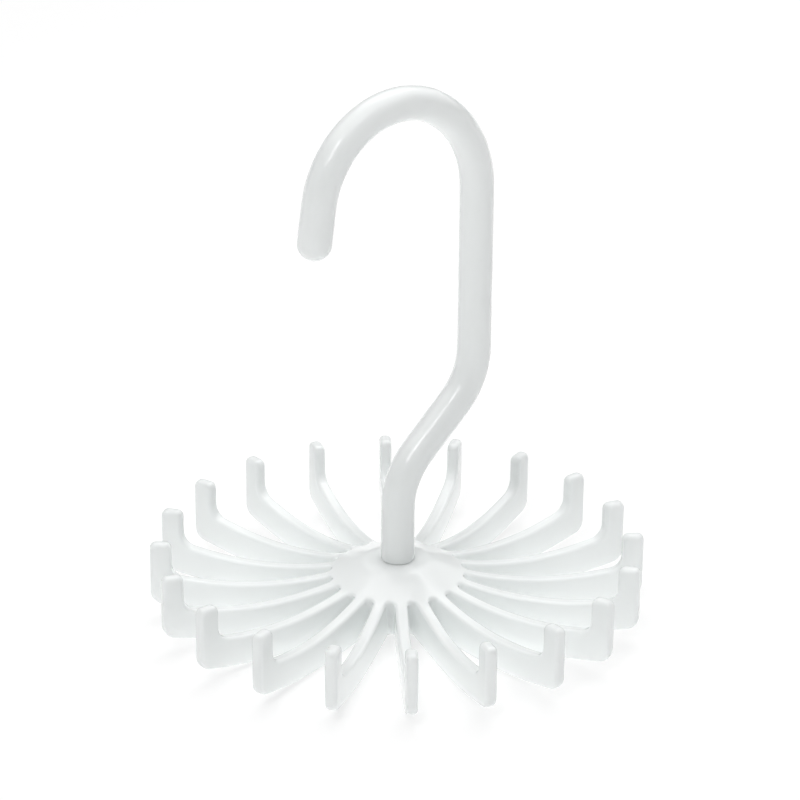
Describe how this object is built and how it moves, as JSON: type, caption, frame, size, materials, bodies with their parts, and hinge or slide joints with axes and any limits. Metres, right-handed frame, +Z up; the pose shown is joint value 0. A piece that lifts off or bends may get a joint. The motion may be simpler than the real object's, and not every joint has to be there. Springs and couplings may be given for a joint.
{
  "type": "tie hanger",
  "caption": "Rod hook with a claw wheel of radial ribs and upturned fingers that turns freely under it, for hanging ties from a closet rail.",
  "frame": {"origin": "on the wheel's axis, on the plane that the lowest faces of the ribs and the hub stand on", "axes": "+Z up along the wheel's axis; the hook lies in the XZ plane with its straight side at +X and its free end at -X"},
  "size_m": [0.13, 0.13, 0.146],
  "materials": {
    "hook_plastic": "moulded gloss white, faintly cool",
    "wheel_plastic": "moulded gloss white, faintly cool",
    "washer_steel": "zinc plated, stamped",
    "screw_steel": "zinc plated, rolled"
  },
  "bodies": {
    "hook_side": {"hook": "hook_plastic", "washer": "washer_steel", "screw": "screw_steel"},
    "wheel": {"claw_wheel": "wheel_plastic"}
  },
  "joints": [
    {"name": "wheel_spin", "type": "hinge", "parent": "hook_side", "child": "wheel", "pos_m": [0, 0, 0.01], "axis": [0, 0, 1], "continuous": true}
  ]
}
